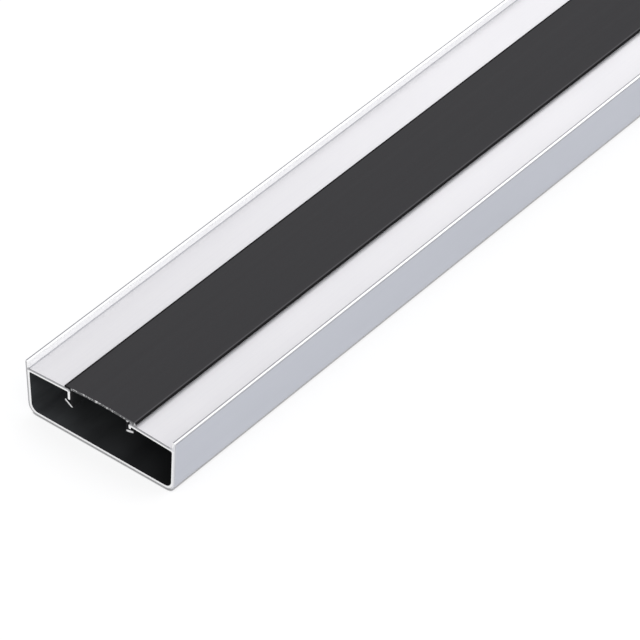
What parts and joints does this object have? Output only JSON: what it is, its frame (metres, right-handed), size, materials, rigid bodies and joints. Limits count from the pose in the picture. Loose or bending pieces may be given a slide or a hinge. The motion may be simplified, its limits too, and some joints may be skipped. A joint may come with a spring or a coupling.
{
  "type": "cable raceway",
  "caption": "Shallow rectangular aluminium channel that hides cables along a wall, closed at the back by a snap-in dark plastic strip.",
  "frame": {"origin": "middle of the flat front face, which lies on the floor", "axes": "+X along the length, +Y across the width towards the snap side, +Z from the front face towards the back that goes to the wall"},
  "size_m": [0.4, 0.06, 0.02],
  "materials": {
    "anodised_aluminium": "satin anodised",
    "dark_pvc": "matte extruded"
  },
  "bodies": {
    "root": {"raceway_channel": "anodised_aluminium", "snap_strip": "dark_pvc"}
  },
  "joints": []
}
